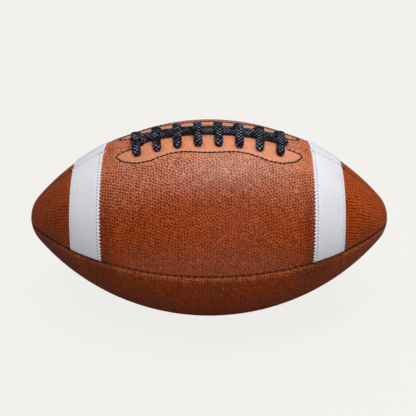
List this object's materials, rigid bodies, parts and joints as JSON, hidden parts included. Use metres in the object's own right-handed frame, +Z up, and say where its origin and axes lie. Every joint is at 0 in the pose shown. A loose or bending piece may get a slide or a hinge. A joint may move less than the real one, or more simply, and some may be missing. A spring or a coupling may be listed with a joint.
{
  "type": "american football",
  "caption": "Laced leather american football with white stripes, lined panels, rubber bladder and needle valve.",
  "frame": {"origin": "under the middle of the ball, on the surface that the bottom seam's two shoulders rest on", "axes": "+X along the ball from point to point, -Y towards the front of the picture, +Z up through the lacing"},
  "size_m": [0.29, 0.16, 0.1673],
  "materials": {
    "leather": "pebbled, satin",
    "stripe": "white, finely pebbled",
    "lace": "braided, slightly glossy",
    "lining": "woven",
    "facing": "smooth",
    "tongue": "smooth",
    "bladder": "matt",
    "valve": "matt",
    "plug": "matt",
    "thread": "waxed thread"
  },
  "bodies": {
    "root": {"leather_upper_front": "leather", "leather_upper_back": "leather", "leather_lower_front": "leather", "leather_lower_back": "leather", "lining_upper_front": "lining", "lining_upper_back": "lining", "lining_lower_front": "lining", "lining_lower_back": "lining", "stripe_front_left": "stripe", "stripe_front_right": "stripe", "stripe_back_left": "stripe", "stripe_back_right": "stripe", "lace": "lace", "lace_facing_front": "facing", "lace_facing_back": "facing", "lace_tongue": "tongue", "bladder": "bladder", "valve_patch": "bladder", "valve_housing": "valve", "valve_plug": "plug", "seam_thread_front": "thread", "seam_thread_back": "thread", "seam_thread_bottom": "thread", "seam_thread_top_left": "thread", "seam_thread_top_right": "thread", "facing_thread_front": "thread", "facing_thread_back": "thread"}
  },
  "joints": []
}
